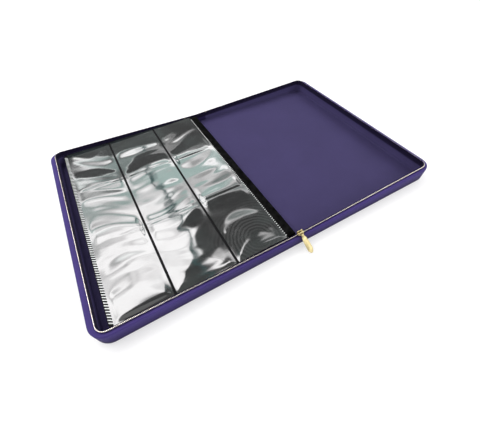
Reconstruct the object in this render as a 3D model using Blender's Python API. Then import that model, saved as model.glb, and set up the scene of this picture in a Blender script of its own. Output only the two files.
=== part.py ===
"""A zip-round pocket album lying open flat, in metres.

Two shallow trays hinge on a spine panel. The front cover (towards -X) holds six pocket leaves, the back
cover (towards +X) is empty, and a zip runs along the rim tops, all round except across the spine.
The rims taper towards the spine, so each hinge folds a little less than 90 degrees until they meet.
The origin is the centre of the spine's underside: +X to the back cover, +Y to the far edge, +Z up.
"""
import math

import bmesh
import bpy
from mathutils import Matrix, Vector

# Case
DEPTH = 0.311
OPEN_WIDTH = 0.4826
CORNER_RADIUS = 0.0180
INNER_CORNER_RADIUS = 0.0100  # of the rim wall's inner face, so the wall is thinner round the corners
CORNER_STEPS = 6
WALL = 0.0043
SIDE_EXTRA = 0.0033         # how much thicker the rim wall is along the outer edges
RIM_AT_SPINE = 0.0179       # top of the zip teeth over the middle of the spine
RIM_AT_EDGE = 0.02507       # the same at the outer edges
SKIN = 0.0010
BOARD = 0.0012
LINING = 0.0004
GAP = 0.0003                # between pieces that touch

# Hinges
HINGE_Z = 0.0015
FOLD_GAP = 0.0020           # from a hinge axis to the panels' edges
HINGE_LEATHER = 0.0006

# Zip, measured from the rim's top
WALL_DROP = 0.0026
TAPE = 0.0006
TAPE_DROP = 0.0018
TAPE_HEIGHT = 0.0062
TEETH_WIDTH = 0.0016
TEETH_HEIGHT = 0.0015
ROW_HALF_GAP = 0.0008       # from the middle plane to each row of teeth when the album is closed
TOP_STOP_LENGTH = 0.0016

# Slider and pull tab, in the slider's frame: x along the zip, y into the album, z across the rows
SLIDER_X = 0.0035
SLIDER_LENGTH = 0.0080
SLIDER_HALF_HEIGHT = 0.0031
CHANNEL_HALF_HEIGHT = 0.0026
OUTER_PLATE = (-0.0024, -0.0012)
INNER_PLATE = (0.0011, 0.0019)
TAPE_SLOT_HALF = 0.00065
CUT_BEYOND = 0.0005         # how far a cutter goes past the slider's faces
CUT_INTO = 0.0001           # how far the slots' cutters reach into the channel
BRIDGE_LENGTH = 0.0025
BRIDGE_HALF_HEIGHT = 0.0005
STOP_LENGTH = 0.0025
CROWN_Y = -0.0042
CROWN_HALF_LENGTH = 0.0023
CROWN_RADIUS = 0.00045
CROWN_BEND = 0.0008
EYE_RADIUS = 0.0013
EYE_HOLE = 0.00075
EYE_LENGTH = 0.0032
TAB_LENGTH = 0.0255
TAB_WIDTH = 0.0076
TAB_THICKNESS = 0.0012
TAB_NECK = 0.0016
TAB_SHAPE = ((0.10, 0.60), (0.35, 0.86), (0.72, 1.0), (0.82, 0.92), (0.96, 0.45), (1.0, 0.20))  # shares
TAB_DROP_DEG = 41.8         # below the horizontal at rest
TAB_LEAN_DEG = 8.0          # sideways, towards the back cover

# Pocket leaves
LEAF_COUNT = 6
LEAF_OUTER_X = -0.2236
LEAF_INNER_X = -0.0115
LEAF_NEAR_Y = -0.1483
LEAF_FAR_Y = 0.1485
LEAF_CORNER = 0.005
LEAF_PITCH = 0.00245
FILM = 0.0004
BACKING = 0.0005
FILM_INSET = 0.0005
FIRST_LEAF_GAP = 0.00035
LEAF_AXIS = Vector((-0.0122, 0.0, 0.0043))
STRIP_THICKNESS = 0.0004
STRIP_OUTERMOST_X = 0.0006
STRIP_PITCH = 0.0016
STRIP_END_INSET = 0.0018
BINDING_EDGE_X = (-0.0157, 0.0070)

# Worked out from the sizes above
HALF_WIDTH = OPEN_WIDTH / 2
HALF_DEPTH = DEPTH / 2
RIM_SLOPE = (RIM_AT_EDGE - RIM_AT_SPINE) / HALF_WIDTH
RIM_ANGLE = math.atan(RIM_SLOPE)
HINGE_X = ((RIM_AT_SPINE - HINGE_Z) * math.cos(RIM_ANGLE) + ROW_HALF_GAP) / (1 - math.sin(RIM_ANGLE))
COVER_START = HINGE_X + FOLD_GAP
SPINE_EDGE = HINGE_X - FOLD_GAP
BOARD_BOTTOM = SKIN + GAP
LINING_BOTTOM = BOARD_BOTTOM + BOARD + GAP
FLOOR_Z = LINING_BOTTOM + LINING
TAPE_INSET = WALL + GAP
ZIP_PLANE_Y = HALF_DEPTH - TAPE_INSET - TAPE / 2
TEETH_INSET = TAPE_INSET + TAPE / 2 - TEETH_WIDTH / 2

parts = bpy.data.collections.new("coin_album")
cutters = bpy.data.collections.new("cutters")


def rim_top(x):
    """Height of the top of the teeth: lowest over the spine, rising evenly to both outer edges."""
    return RIM_AT_SPINE + RIM_SLOPE * abs(x)


def below_rim(drop):
    """A height that follows the rim at a fixed depth below the top of the teeth."""
    return lambda x: rim_top(x) - drop


def finish(name, colour, roughness, metallic=0.0, alpha=1.0):
    """A Principled material of one plain finish."""
    material = bpy.data.materials.new(name)
    material.use_nodes = True
    shader = material.node_tree.nodes["Principled BSDF"]
    shader.inputs["Base Color"].default_value = (*colour, 1.0)
    shader.inputs["Roughness"].default_value = roughness
    shader.inputs["Metallic"].default_value = metallic
    shader.inputs["Alpha"].default_value = alpha
    return material


def clear_scene():
    for old in list(bpy.data.objects):
        bpy.data.objects.remove(old, do_unlink=True)
    for collection in (parts, cutters):
        bpy.context.scene.collection.children.link(collection)


def empty(name, location, parent=None, turn=0.0):
    """A joint's pivot. turn tips its x axis up by that angle, about Y."""
    pivot = bpy.data.objects.new(name, None)
    parts.objects.link(pivot)
    if parent:
        pivot.parent = parent
        pivot.matrix_parent_inverse = parent.matrix_world.inverted()
    pivot.location = location
    pivot.rotation_euler = (0.0, -turn, 0.0)
    bpy.context.view_layer.update()
    return pivot


def add_part(name, mesh, material, parent, in_parent_frame=False):
    """Link a mesh as a named part and hang it on its pivot, if it has one."""
    part = bpy.data.objects.new(name, mesh)
    parts.objects.link(part)
    if material:
        mesh.materials.append(material)
    if parent:
        part.parent = parent
        if not in_parent_frame:
            part.matrix_parent_inverse = parent.matrix_world.inverted()
    return part


def box_mesh(name, low, high):
    low, high = Vector(low), Vector(high)
    block = bmesh.new()
    bmesh.ops.create_cube(block, size=1.0)
    bmesh.ops.scale(block, vec=high - low, verts=block.verts)
    bmesh.ops.translate(block, vec=(high + low) / 2, verts=block.verts)
    mesh = bpy.data.meshes.new(name)
    block.to_mesh(mesh)
    block.free()
    return mesh


def box_cutter(name, low, high, parent):
    cutter = bpy.data.objects.new(name, box_mesh(name, low, high))
    return hide_cutter(cutter, parent)


def rod_cutter(name, radius, length, location, parent):
    """A round cutter along the pivot's x axis."""
    cutter = bpy.data.objects.new(name, rod_mesh(name, radius, length))
    cutter.location = location
    return hide_cutter(cutter, parent)


def hide_cutter(cutter, parent):
    cutters.objects.link(cutter)
    cutter.parent = parent
    cutter.hide_render = True
    cutter.display_type = "WIRE"
    return cutter


def rod_mesh(name, radius, length, sides=20):
    rod = bmesh.new()
    bmesh.ops.create_cone(
        rod, cap_ends=True, segments=sides, radius1=radius, radius2=radius, depth=length,
        matrix=Matrix.Rotation(math.pi / 2, 4, "Y"))
    mesh = bpy.data.meshes.new(name)
    rod.to_mesh(mesh)
    rod.free()
    return mesh


def boolean(part, other, operation):
    modifier = part.modifiers.new(operation.lower(), "BOOLEAN")
    modifier.operation = operation
    modifier.object = other


def outline_mesh(name, outline, low, high):
    """A flat outline made solid between two heights, each a number or a function of x."""
    curve = bpy.data.curves.new(name, "CURVE")
    curve.dimensions = "2D"
    curve.fill_mode = "BOTH"
    curve.extrude = GAP
    spline = curve.splines.new("POLY")
    spline.points.add(len(outline) - 1)
    for point, (x, y) in zip(spline.points, outline):
        point.co = (x, y, 0.0, 1.0)
    spline.use_cyclic_u = True
    guide = bpy.data.objects.new(name, curve)
    cutters.objects.link(guide)
    bpy.context.view_layer.update()
    evaluated = guide.evaluated_get(bpy.context.evaluated_depsgraph_get())
    mesh = bpy.data.meshes.new_from_object(evaluated)
    bpy.data.objects.remove(guide)

    solid = bmesh.new()
    solid.from_mesh(mesh)
    bmesh.ops.remove_doubles(solid, verts=solid.verts, dist=1e-6)
    for vertex in solid.verts:
        height = high if vertex.co.z > 0 else low
        vertex.co.z = height(vertex.co.x) if callable(height) else height
    bmesh.ops.recalc_face_normals(solid, faces=solid.faces)
    solid.to_mesh(mesh)
    solid.free()
    return mesh


def plate(name, outline, low, high, material, parent=None):
    return add_part(name, outline_mesh(name, outline, low, high), material, parent)


def arc(centre, radius, first_deg, steps):
    """A quarter circle's points, anticlockwise from first_deg."""
    for step in range(steps + 1):
        angle = math.radians(first_deg + 90 * step / steps)
        yield centre[0] + radius * math.cos(angle), centre[1] + radius * math.sin(angle)


def tray_path(inset):
    """A cover's edge, from the hinge's near end round both outer corners to its far end."""
    radius = INNER_CORNER_RADIUS - (inset - WALL) if inset else CORNER_RADIUS
    corner_x = HALF_WIDTH - (inset + SIDE_EXTRA if inset else 0.0) - radius
    corner_y = HALF_DEPTH - inset - radius
    points = [(COVER_START, -HALF_DEPTH + inset)]
    points += arc((corner_x, -corner_y), radius, -90, CORNER_STEPS)
    points += arc((corner_x, corner_y), radius, 0, CORNER_STEPS)
    points.append((COVER_START, HALF_DEPTH - inset))
    return points


def band(inset, thickness):
    """The outline of a strip of even thickness that follows a cover's edge."""
    return tray_path(inset) + tray_path(inset + thickness)[::-1]


def rectangle(low_x, high_x, low_y, high_y):
    return [(low_x, low_y), (high_x, low_y), (high_x, high_y), (low_x, high_y)]


def on_side(side, outline):
    return [(side * x, y) for x, y in outline]


def build_cover(name, side, finishes, parent):
    """One tray: skin, stiffener, lining, rim wall, zip tape, row of teeth and its top stop."""
    floor = tray_path(WALL + GAP)
    plate(f"{name}_skin", on_side(side, floor), 0.0, SKIN, finishes["leather"], parent)
    plate(f"{name}_board", on_side(side, floor), BOARD_BOTTOM, BOARD_BOTTOM + BOARD,
          finishes["board"], parent)
    lining = tray_path(TAPE_INSET + TAPE + GAP)
    plate(f"{name}_lining", on_side(side, lining), LINING_BOTTOM, FLOOR_Z, finishes["lining"], parent)
    plate(f"{name}_rim", on_side(side, band(0.0, WALL)), 0.0, below_rim(WALL_DROP),
          finishes["leather"], parent)
    plate(f"{name}_zip_tape", on_side(side, band(TAPE_INSET, TAPE)),
          below_rim(TAPE_DROP + TAPE_HEIGHT), below_rim(TAPE_DROP), finishes["tape"], parent)

    teeth = band(TEETH_INSET, TEETH_WIDTH)
    stop_end = COVER_START + TOP_STOP_LENGTH
    teeth[len(teeth) // 2 - 1] = (stop_end + GAP, teeth[len(teeth) // 2 - 1][1])
    teeth[len(teeth) // 2] = (stop_end + GAP, teeth[len(teeth) // 2][1])
    plate(f"{name}_zip_teeth", on_side(side, teeth), below_rim(TEETH_HEIGHT), rim_top,
          finishes["teeth"], parent)
    stop = rectangle(COVER_START, stop_end, HALF_DEPTH - TEETH_INSET - TEETH_WIDTH,
                     HALF_DEPTH - TEETH_INSET)
    plate(f"{name}_zip_top_stop", on_side(side, stop), below_rim(TEETH_HEIGHT), rim_top,
          finishes["gold"], parent)


def build_spine(finishes, parent):
    """The spine panel, with the strip that the leaves are sewn to and a fold of leather at each hinge."""
    reach = HALF_DEPTH - GAP - WALL
    plate("spine_skin", rectangle(-SPINE_EDGE, SPINE_EDGE, -reach, reach), 0.0, SKIN,
          finishes["leather"], parent)
    plate("spine_board", rectangle(-SPINE_EDGE, SPINE_EDGE, -reach, reach), BOARD_BOTTOM,
          BOARD_BOTTOM + BOARD, finishes["board"], parent)
    low, high = BINDING_EDGE_X
    inner_reach = HALF_DEPTH - TAPE_INSET - TAPE - GAP
    plate("binding_strip", rectangle(low, high, -inner_reach, inner_reach), LINING_BOTTOM, FLOOR_Z,
          finishes["backing"], parent)
    plate("spine_lining", rectangle(high + GAP, SPINE_EDGE, -inner_reach, inner_reach),
          LINING_BOTTOM, FLOOR_Z, finishes["lining"], parent)
    fold = rectangle(SPINE_EDGE + GAP, COVER_START - GAP, -reach, reach)
    for name, side in (("front", -1), ("back", 1)):
        plate(f"{name}_hinge_leather", on_side(side, fold), GAP, GAP + HINGE_LEATHER,
              finishes["leather"], parent)


def build_gussets(finishes, parent):
    """The soft ends of the spine: a leather gusset and a tail of the zip for each cover, at each end."""
    reach = COVER_START - GAP
    for end, y_side in (("near", -1), ("far", 1)):
        edges = sorted((y_side * HALF_DEPTH, y_side * (HALF_DEPTH - WALL)))
        for cover, side in (("front", -1), ("back", 1)):
            wall = rectangle(GAP / 2, reach, *edges)
            plate(f"{end}_{cover}_gusset", on_side(side, wall), GAP, below_rim(WALL_DROP),
                  finishes["leather"], parent)
            build_zip_tail(f"{end}_{cover}_zip_tail", side, y_side * ZIP_PLANE_Y, reach, finishes, parent)


def build_zip_tail(name, side, zip_y, reach, finishes, parent):
    """One row's end over a gusset: the teeth, and the tape below them."""
    teeth = rectangle(GAP / 2, reach, zip_y - TEETH_WIDTH / 2, zip_y + TEETH_WIDTH / 2)
    row = plate(name, on_side(side, teeth), below_rim(TEETH_HEIGHT), rim_top, finishes["teeth"], parent)
    tape = rectangle(GAP / 2, reach, zip_y - TAPE / 2, zip_y + TAPE / 2)
    tape_mesh = outline_mesh(f"{name}_tape", on_side(side, tape), below_rim(TAPE_DROP + TAPE_HEIGHT),
                             below_rim(TEETH_HEIGHT / 2))
    boolean(row, hide_cutter(bpy.data.objects.new(f"{name}_tape", tape_mesh), None), "UNION")


def strip_outline(top_z, outer_x, start_x):
    """A leaf's hinge strip seen from the end: along the leaf, round a bend and down to the spine."""
    bend = 2.5 * STRIP_THICKNESS
    foot = FLOOR_Z + GAP
    outside = [(start_x, top_z)]
    outside += list(arc((outer_x - bend, top_z - bend), bend, 0, 4))[::-1]
    outside.append((outer_x, foot))
    inner_bend = bend - STRIP_THICKNESS
    inside = [(start_x, top_z - STRIP_THICKNESS)]
    inside += list(arc((outer_x - bend, top_z - bend), inner_bend, 0, 4))[::-1]
    inside.append((outer_x - STRIP_THICKNESS, foot))
    return outside + inside[::-1]


def leaf_outline(inset):
    """A leaf's flat shape: small round corners at the outer edge, square at the bound edge."""
    low_x = LEAF_OUTER_X + inset
    high_x = LEAF_INNER_X - inset
    low_y = LEAF_NEAR_Y + inset
    high_y = LEAF_FAR_Y - inset
    radius = LEAF_CORNER - inset
    points = [(high_x, low_y), (high_x, high_y)]
    points += arc((low_x + radius, high_y - radius), radius, 90, 3)
    points += arc((low_x + radius, low_y + radius), radius, 180, 3)
    return points


def build_leaf(number, finishes, spine_pivot):
    """One pocket leaf: black backing between two pocket films, and the strip that binds it."""
    pivot = empty(f"leaf_{number}_pivot", LEAF_AXIS, spine_pivot)
    bottom = FLOOR_Z + FIRST_LEAF_GAP + (number - 1) * LEAF_PITCH
    backing_bottom = bottom + FILM + GAP
    front_bottom = backing_bottom + BACKING + GAP
    plate(f"leaf_{number}_back_film", leaf_outline(FILM_INSET), bottom, bottom + FILM,
          finishes["film"], pivot)
    plate(f"leaf_{number}_backing", leaf_outline(0.0), backing_bottom, backing_bottom + BACKING,
          finishes["backing"], pivot)
    plate(f"leaf_{number}_front_film", leaf_outline(FILM_INSET), front_bottom, front_bottom + FILM,
          finishes["film"], pivot)

    outer_x = STRIP_OUTERMOST_X - (LEAF_COUNT - number) * STRIP_PITCH
    outline = strip_outline(backing_bottom + BACKING, outer_x, LEAF_INNER_X + GAP)
    length = LEAF_FAR_Y - LEAF_NEAR_Y - 2 * STRIP_END_INSET
    mesh = outline_mesh(f"leaf_{number}_hinge_strip", outline, 0.0, length)
    far_end = LEAF_NEAR_Y + STRIP_END_INSET + length
    mesh.transform(Matrix.Translation((0.0, far_end, 0.0)) @ Matrix.Rotation(math.pi / 2, 4, "X"))
    add_part(f"leaf_{number}_hinge_strip", mesh, finishes["backing"], spine_pivot)


def build_slider(finishes, frame):
    """Two plates joined by a bridge at the leading end, with a channel for each row of teeth."""
    rear, front = -SLIDER_LENGTH / 2, SLIDER_LENGTH / 2
    beyond, into = CUT_BEYOND, CUT_INTO
    outer, outer_inside = OUTER_PLATE
    inner_inside, inner = INNER_PLATE
    height, channel, bridge = SLIDER_HALF_HEIGHT, CHANNEL_HALF_HEIGHT, BRIDGE_HALF_HEIGHT
    mesh = box_mesh("zip_slider", (rear, outer, -height), (front, inner, height))
    slider = add_part("zip_slider", mesh, finishes["gold"], frame, in_parent_frame=True)
    bridge_start = front - BRIDGE_LENGTH
    hollows = {
        "channel": ((rear - beyond, outer_inside, -channel), (bridge_start, inner_inside, channel)),
        "upper_channel": ((bridge_start - beyond, outer_inside, bridge),
                          (front + beyond, inner_inside, channel)),
        "lower_channel": ((bridge_start - beyond, outer_inside, -channel),
                          (front + beyond, inner_inside, -bridge)),
        "upper_slot": ((rear - beyond, -TAPE_SLOT_HALF, channel - into),
                       (front + beyond, TAPE_SLOT_HALF, height + beyond)),
        "lower_slot": ((rear - beyond, -TAPE_SLOT_HALF, -height - beyond),
                       (front + beyond, TAPE_SLOT_HALF, -channel + into)),
    }
    for name, (low, high) in hollows.items():
        boolean(slider, box_cutter(name, low, high, frame), "DIFFERENCE")


def crown_points():
    """The crown's centre line: out from the plate, along the zip, and back."""
    foot_y = OUTER_PLATE[0] - GAP
    inner_x = CROWN_HALF_LENGTH - CROWN_BEND
    bend_y = CROWN_Y + CROWN_BEND
    points = [(-CROWN_HALF_LENGTH, foot_y)]
    points += arc((-inner_x, bend_y), CROWN_BEND, 180, 4)
    points += arc((inner_x, bend_y), CROWN_BEND, 270, 4)
    points.append((CROWN_HALF_LENGTH, foot_y))
    return points


def build_crown(finishes, frame):
    """The bar that the pull tab swings on."""
    curve = bpy.data.curves.new("slider_crown", "CURVE")
    curve.dimensions = "3D"
    curve.bevel_depth = CROWN_RADIUS
    curve.bevel_resolution = 2
    curve.use_fill_caps = True
    spline = curve.splines.new("POLY")
    points = crown_points()
    spline.points.add(len(points) - 1)
    for point, (x, y) in zip(spline.points, points):
        point.co = (x, y, 0.0, 1.0)
    crown = bpy.data.objects.new("slider_crown", curve)
    curve.materials.append(finishes["gold"])
    parts.objects.link(crown)
    crown.parent = frame


def tab_outline():
    """The pull tab from its eye to its tip: a slim neck, widening, with a blunt pencil point."""
    right = [(EYE_LENGTH / 2, 0.0), (EYE_LENGTH / 2, TAB_NECK)]
    right += [(width * TAB_WIDTH / 2, along * TAB_LENGTH) for along, width in TAB_SHAPE]
    return right + [(-x, y) for x, y in reversed(right)]


def build_pull_tab(finishes, frame):
    """A flat tab with an eye round the crown's bar, hanging out over the near rim."""
    mesh = outline_mesh("pull_tab", tab_outline(), -TAB_THICKNESS / 2, TAB_THICKNESS / 2)
    lean = Matrix.Rotation(math.radians(TAB_LEAN_DEG), 4, "Z")
    outwards = Matrix.Rotation(math.pi, 4, "Z")
    drop = Matrix.Rotation(math.radians(TAB_DROP_DEG), 4, "X")
    mesh.transform(drop @ outwards @ lean)
    tab = add_part("pull_tab", mesh, finishes["gold"], frame, in_parent_frame=True)
    eye = rod_cutter("pull_tab_eye", EYE_RADIUS, EYE_LENGTH, (0.0, 0.0, 0.0), frame)
    boolean(tab, eye, "UNION")
    hole = rod_cutter("pull_tab_hole", EYE_HOLE, 2 * EYE_LENGTH, (0.0, 0.0, 0.0), frame)
    boolean(tab, hole, "DIFFERENCE")


def build_zip_pull(finishes):
    """The zip's bottom stop, the slider that starts over it, and the slider's crown and tab."""
    def zip_frame(name, x, parent=None):
        height = rim_top(x) + ROW_HALF_GAP / math.cos(RIM_ANGLE)
        return empty(name, (x, -ZIP_PLANE_Y, height), parent, RIM_ANGLE)

    start_x = SLIDER_X - SLIDER_LENGTH / 2
    stop_frame = zip_frame("zip_start_slide", start_x)
    stop_mesh = box_mesh(
        "zip_bottom_stop",
        (0.0, OUTER_PLATE[1] + GAP, -BRIDGE_HALF_HEIGHT),
        (STOP_LENGTH, INNER_PLATE[0] - GAP, BRIDGE_HALF_HEIGHT))
    add_part("zip_bottom_stop", stop_mesh, finishes["gold"], stop_frame, in_parent_frame=True)

    slider_frame = zip_frame("zip_slide", SLIDER_X)
    build_slider(finishes, slider_frame)
    build_crown(finishes, slider_frame)
    bar = slider_frame.matrix_world @ Vector((0.0, CROWN_Y, 0.0))
    build_pull_tab(finishes, empty("pull_tab_pivot", bar, None, RIM_ANGLE))


def main():
    clear_scene()
    finishes = {
        "leather": finish("purple_leather", (0.062, 0.048, 0.165), 0.48),
        "lining": finish("purple_lining", (0.055, 0.048, 0.125), 0.6),
        "board": finish("grey_board", (0.25, 0.24, 0.22), 0.9),
        "tape": finish("dark_zip_tape", (0.012, 0.010, 0.028), 0.85),
        "teeth": finish("pale_gold_teeth", (0.55, 0.47, 0.36), 0.4, 0.6),
        "gold": finish("gold_metal", (0.62, 0.47, 0.20), 0.28, 1.0),
        "film": finish("clear_film", (0.85, 0.87, 0.87), 0.12, alpha=0.35),
        "backing": finish("black_backing", (0.012, 0.012, 0.013), 0.7),
    }
    spine_pivot = empty("spine_fold", (HINGE_X, 0.0, HINGE_Z))
    front_pivot = empty("front_cover_fold", (-HINGE_X, 0.0, HINGE_Z), spine_pivot)
    build_cover("back_cover", 1, finishes, None)
    build_cover("front_cover", -1, finishes, front_pivot)
    build_spine(finishes, spine_pivot)
    build_gussets(finishes, spine_pivot)
    for number in range(1, LEAF_COUNT + 1):
        build_leaf(number, finishes, spine_pivot)
    build_zip_pull(finishes)


main()
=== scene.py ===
"""The looks of a zip-round pocket album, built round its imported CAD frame.

Lengths are in metres. The open album lies with its spine along y, the front cover and its leaves
towards -x and the back cover towards +x. Most functions work on the back cover's side, with x
measured from the spine's middle, and multiply x by side, which is -1 for the front cover.
"""
import math

import bmesh
import bpy
from mathutils import Matrix, Vector


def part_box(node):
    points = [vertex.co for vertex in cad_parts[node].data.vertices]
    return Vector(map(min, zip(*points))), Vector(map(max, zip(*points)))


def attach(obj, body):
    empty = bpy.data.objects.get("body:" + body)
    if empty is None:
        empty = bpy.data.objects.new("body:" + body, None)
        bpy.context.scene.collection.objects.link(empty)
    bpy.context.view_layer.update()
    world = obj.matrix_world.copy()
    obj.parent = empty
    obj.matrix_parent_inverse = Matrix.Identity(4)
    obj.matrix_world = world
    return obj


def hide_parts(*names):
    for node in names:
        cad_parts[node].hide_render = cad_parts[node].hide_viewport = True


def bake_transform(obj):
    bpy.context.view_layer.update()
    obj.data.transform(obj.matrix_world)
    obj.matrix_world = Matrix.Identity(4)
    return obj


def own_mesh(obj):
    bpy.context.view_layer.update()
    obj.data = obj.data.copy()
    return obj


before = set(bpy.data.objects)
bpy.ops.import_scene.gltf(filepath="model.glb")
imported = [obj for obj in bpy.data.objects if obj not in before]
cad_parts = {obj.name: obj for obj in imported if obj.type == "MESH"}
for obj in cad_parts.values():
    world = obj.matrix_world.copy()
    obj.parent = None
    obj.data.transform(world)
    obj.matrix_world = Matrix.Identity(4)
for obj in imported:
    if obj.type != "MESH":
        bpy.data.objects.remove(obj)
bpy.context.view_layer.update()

COVERS = (("back_cover", 1), ("front_cover", -1))

# Read off the frame
RIM_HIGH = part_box("back_cover_rim")[1]
HALF_WIDTH, HALF_DEPTH = RIM_HIGH.x, RIM_HIGH.y
LINING_LOW, LINING_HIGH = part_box("back_cover_lining")
LINING_BOTTOM, FLOOR_Z = LINING_LOW.z, LINING_HIGH.z
BINDING_LOW, BINDING_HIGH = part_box("binding_strip")
GUSSET_LOW, GUSSET_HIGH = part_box("far_back_gusset")
WALL = GUSSET_HIGH.y - GUSSET_LOW.y
SKIN_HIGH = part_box("back_cover_skin")[1]
SIDE_EXTRA = (HALF_WIDTH - SKIN_HIGH.x) - (HALF_DEPTH - SKIN_HIGH.y)
ROW_Y = sum(corner.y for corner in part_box("far_back_zip_tail")) / 2
FILM_LOW, FILM_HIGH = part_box("leaf_6_front_film")

# The rim rises from the spine to the outer edges
RIM_AT_SPINE = 0.0179
RIM_AT_EDGE = 0.02507
RIM_SLOPE = (RIM_AT_EDGE - RIM_AT_SPINE) / HALF_WIDTH
WALL_DROP = 0.0026  # from the teeth's tops down to the leather's rolled top
WALL_INNER_FOOT = 0.0044  # height of the leather's last point inside, behind the lining's fillet

# A cover's outline
OUTER_RADIUS = 0.0180
INNER_RADIUS = 0.0100
LEDGE_START = 0.0025  # inset at which the extra thickness of the outer side's wall begins
ARC_STEPS = 10
ROWS = 30

# The creases between spine and covers
HINGE_X = 0.01772
WALL_START = HINGE_X + 0.0015


def rim_top(x):
    """Height of the teeth's tops at a distance from the spine's middle."""
    return RIM_AT_SPINE + RIM_SLOPE * abs(x)


def below_rim(drop):
    """A height that follows the rim, as a function of x."""
    return lambda x: rim_top(x) - drop


# ---------------------------------------- materials

class Surface:
    """A Principled material whose colour, roughness and relief come from procedural nodes.

    Pieces made here carry their rest position, which keeps a pattern in place on a piece that
    bends. CAD nodes don't, so their materials use object coordinates (rest=False).
    """

    def __init__(self, name, rest=True, metallic=0.0):
        self.material = bpy.data.materials.new(name)
        self.material.use_nodes = True
        self.tree = self.material.node_tree
        self.shader = self.tree.nodes["Principled BSDF"]
        self.fixed({"Metallic": metallic})
        if rest:
            attribute = self.tree.nodes.new("ShaderNodeAttribute")
            attribute.attribute_name = "rest"
            self.place = attribute.outputs["Vector"]
        else:
            self.place = self.tree.nodes.new("ShaderNodeTexCoord").outputs["Object"]

    def fixed(self, values):
        """Constants, set straight on the shader."""
        for socket, value in values.items():
            self.shader.inputs[socket].default_value = value

    def node(self, kind, values=(), **settings):
        node = self.tree.nodes.new(kind)
        for key, value in settings.items():
            setattr(node, key, value)
        for socket, value in dict(values).items():
            self.feed(node.inputs[socket], value)
        return node

    def feed(self, socket, value):
        """Links a socket to another node, or gives it a constant."""
        if isinstance(value, bpy.types.NodeSocket):
            self.tree.links.new(value, socket)
        else:
            socket.default_value = value

    def math(self, operation, first, second=0.0):
        return self.node("ShaderNodeMath", {0: first, 1: second}, operation=operation).outputs[0]

    def length(self, first, second):
        """The length of a vector with these two parts."""
        squares = [self.math("MULTIPLY", part, part) for part in (first, second)]
        return self.math("SQRT", self.math("ADD", *squares))

    def axes(self):
        split = self.node("ShaderNodeSeparateXYZ", {0: self.place})
        return split.outputs[0], split.outputs[1], split.outputs[2]

    def stretched(self, scale):
        return self.node("ShaderNodeMapping", {"Vector": self.place, "Scale": scale}).outputs[0]

    def shifted(self, by):
        return self.node("ShaderNodeMapping", {"Vector": self.place, "Location": by}).outputs[0]

    def noise(self, scale, detail=3.0, roughness=0.5, distortion=0.0, place=None):
        return self.node("ShaderNodeTexNoise", {
            "Vector": place or self.place, "Scale": scale, "Detail": detail,
            "Roughness": roughness, "Distortion": distortion}).outputs[0]

    def from_crease(self, scale):
        """Distance from the borders between random cells."""
        return self.node("ShaderNodeTexVoronoi", {"Vector": self.place, "Scale": scale},
                         feature="DISTANCE_TO_EDGE").outputs["Distance"]

    def ramp(self, value, low, high, out_low=0.0, out_high=1.0):
        return self.node("ShaderNodeMapRange", {
            "Value": value, "From Min": low, "From Max": high, "To Min": out_low,
            "To Max": out_high}, clamp=True).outputs[0]

    def mix(self, amount, first, second):
        node = self.node("ShaderNodeMix", data_type="RGBA")
        self.feed(node.inputs[0], amount)
        for index, colour in ((6, first), (7, second)):  # the node's two colour sockets
            self.feed(node.inputs[index], colour if isinstance(colour, bpy.types.NodeSocket)
                      else (*colour, 1.0))
        return node.outputs[2]

    def scaled(self, colour, share):
        node = self.node("ShaderNodeVectorMath", {0: colour, "Scale": share}, operation="SCALE")
        return node.outputs[0]

    def colour(self, value):
        self.feed(self.shader.inputs["Base Color"], value)

    def roughness(self, value):
        self.feed(self.shader.inputs["Roughness"], value)

    def relief(self, height, depth, strength=1.0):
        bump = self.node("ShaderNodeBump", {"Height": height, "Distance": depth,
                                            "Strength": strength})
        self.tree.links.new(bump.outputs[0], self.shader.inputs["Normal"])


def leather(name, deep, light, worn, grain, gloss, foot=0.0, wall=1.0):
    """Pebbled coated leather: cells with creases between them, uneven colour, wear on high spots.

    foot is how dark the leather gets towards the ground: painted shade near the floor.
    wall is how much lighter it is up a tray's walls: painted fill light on walls that stand in
    shade.
    """
    s = Surface(name)
    s.fixed({"Specular IOR Level": 0.025})
    wobble = s.noise(240.0, 2.0)
    domes = s.ramp(s.from_crease(grain), 0.0, 0.32)
    fine = s.noise(grain * 2.6, 4.0, 0.6)
    broad = s.noise(16.0, 4.0, 0.6)
    base = s.mix(s.ramp(broad, 0.32, 0.68), deep, light)
    # Painted shade: the colour darkens towards deep in the creases between the grain's cells.
    creased = s.mix(s.ramp(domes, 0.0, 0.5, 0.35, 0.0), base, deep)
    rubbed = s.math("MULTIPLY", s.ramp(wobble, 0.60, 0.78), s.ramp(broad, 0.5, 0.7))
    handled = s.mix(s.math("MULTIPLY", rubbed, 0.5), creased, worn)
    # Painted shade: by foot, the colour darkens towards the ground, but not on the underside
    # itself.
    z = s.axes()[2]
    off_ground = s.ramp(z, 0.0001, 0.0012)
    low = s.math("MULTIPLY", s.ramp(z, 0.0010, 0.0190, foot, 0.0), off_ground)
    painted_foot_shade = s.mix(low, handled, (0.012, 0.009, 0.028))
    # Painted light: above the floor the colour is scaled by wall, which lightens walls that stand
    # in shade.
    painted_wall_light_mask = s.ramp(z, FLOOR_Z + 0.0005, FLOOR_Z + 0.0035)
    s.colour(s.mix(painted_wall_light_mask, painted_foot_shade, s.scaled(painted_foot_shade, wall)))
    s.roughness(s.ramp(s.math("ADD", fine, broad), 0.7, 1.3, gloss - 0.07, gloss + 0.09))
    s.relief(s.math("ADD", domes, s.math("MULTIPLY", fine, 0.35)), 0.00009, 0.75)
    return s.material


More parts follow.
